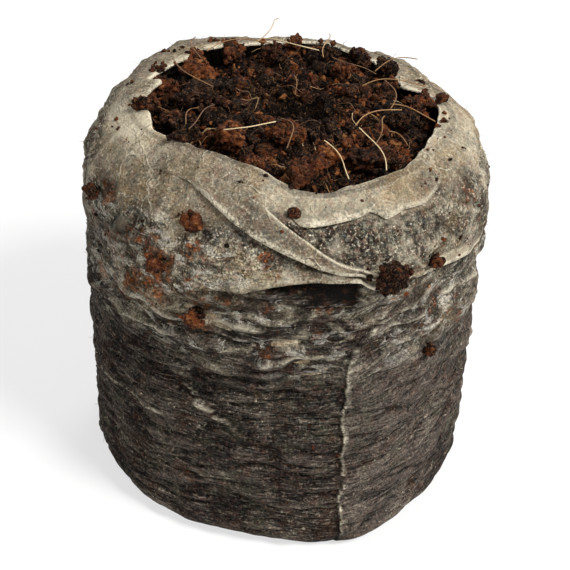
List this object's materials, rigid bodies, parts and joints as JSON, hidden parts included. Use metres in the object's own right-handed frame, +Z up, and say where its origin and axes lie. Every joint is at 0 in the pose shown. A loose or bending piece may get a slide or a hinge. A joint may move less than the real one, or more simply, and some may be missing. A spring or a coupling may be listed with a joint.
{
  "type": "propagation plug",
  "caption": "Swollen coir plug for seeds and cuttings: a creased, lapped fleece sleeve with a folded collar round a coir column with a planting hole.",
  "frame": {"origin": "centre of the bounding box's bottom face, on the surface the plug stands on", "axes": "+Z up along the plug's axis; the side seam is at the front (-Y), a little to the right (+X)"},
  "size_m": [0.0439, 0.0431, 0.0458],
  "materials": {
    "fleece": "matt, damp, translucent non-woven",
    "coir": "matt, crumbly, moist",
    "husk": "matt, rough, moist",
    "fibre": "satin, dry"
  },
  "bodies": {
    "root": {"fleece_sleeve": "fleece", "coir_core": "coir", "husk_chip_01": "husk", "husk_chip_02": "husk", "husk_chip_03": "husk", "husk_chip_04": "husk", "husk_chip_05": "husk", "husk_chip_06": "husk", "husk_chip_07": "husk", "husk_chip_08": "husk", "husk_chip_09": "husk", "husk_chip_10": "husk", "husk_chip_11": "husk", "husk_chip_12": "husk", "husk_chip_13": "husk", "husk_chip_14": "husk", "husk_chip_15": "husk", "husk_chip_16": "husk", "husk_chip_17": "husk", "husk_chip_18": "husk", "husk_chip_19": "husk", "husk_chip_20": "husk", "husk_chip_21": "husk", "husk_chip_22": "husk", "husk_chip_23": "husk", "husk_chip_24": "husk", "stuck_crumb_01": "husk", "stuck_crumb_02": "husk", "stuck_crumb_03": "husk", "stuck_crumb_04": "husk", "stuck_crumb_05": "husk", "stuck_crumb_06": "husk", "stuck_crumb_07": "husk", "stuck_crumb_08": "husk", "stuck_crumb_09": "husk", "stuck_crumb_10": "husk", "stuck_crumb_11": "husk", "stuck_crumb_12": "husk", "coir_fibre_01": "fibre", "coir_fibre_02": "fibre", "coir_fibre_03": "fibre", "coir_fibre_04": "fibre", "coir_fibre_05": "fibre", "coir_fibre_06": "fibre", "coir_fibre_07": "fibre", "coir_fibre_08": "fibre", "coir_fibre_09": "fibre", "coir_fibre_10": "fibre", "coir_fibre_11": "fibre", "coir_fibre_12": "fibre", "coir_fibre_13": "fibre", "coir_fibre_14": "fibre", "coir_fibre_15": "fibre", "coir_fibre_16": "fibre", "coir_fibre_17": "fibre", "coir_fibre_18": "fibre", "coir_fibre_19": "fibre", "coir_fibre_20": "fibre"}
  },
  "joints": []
}
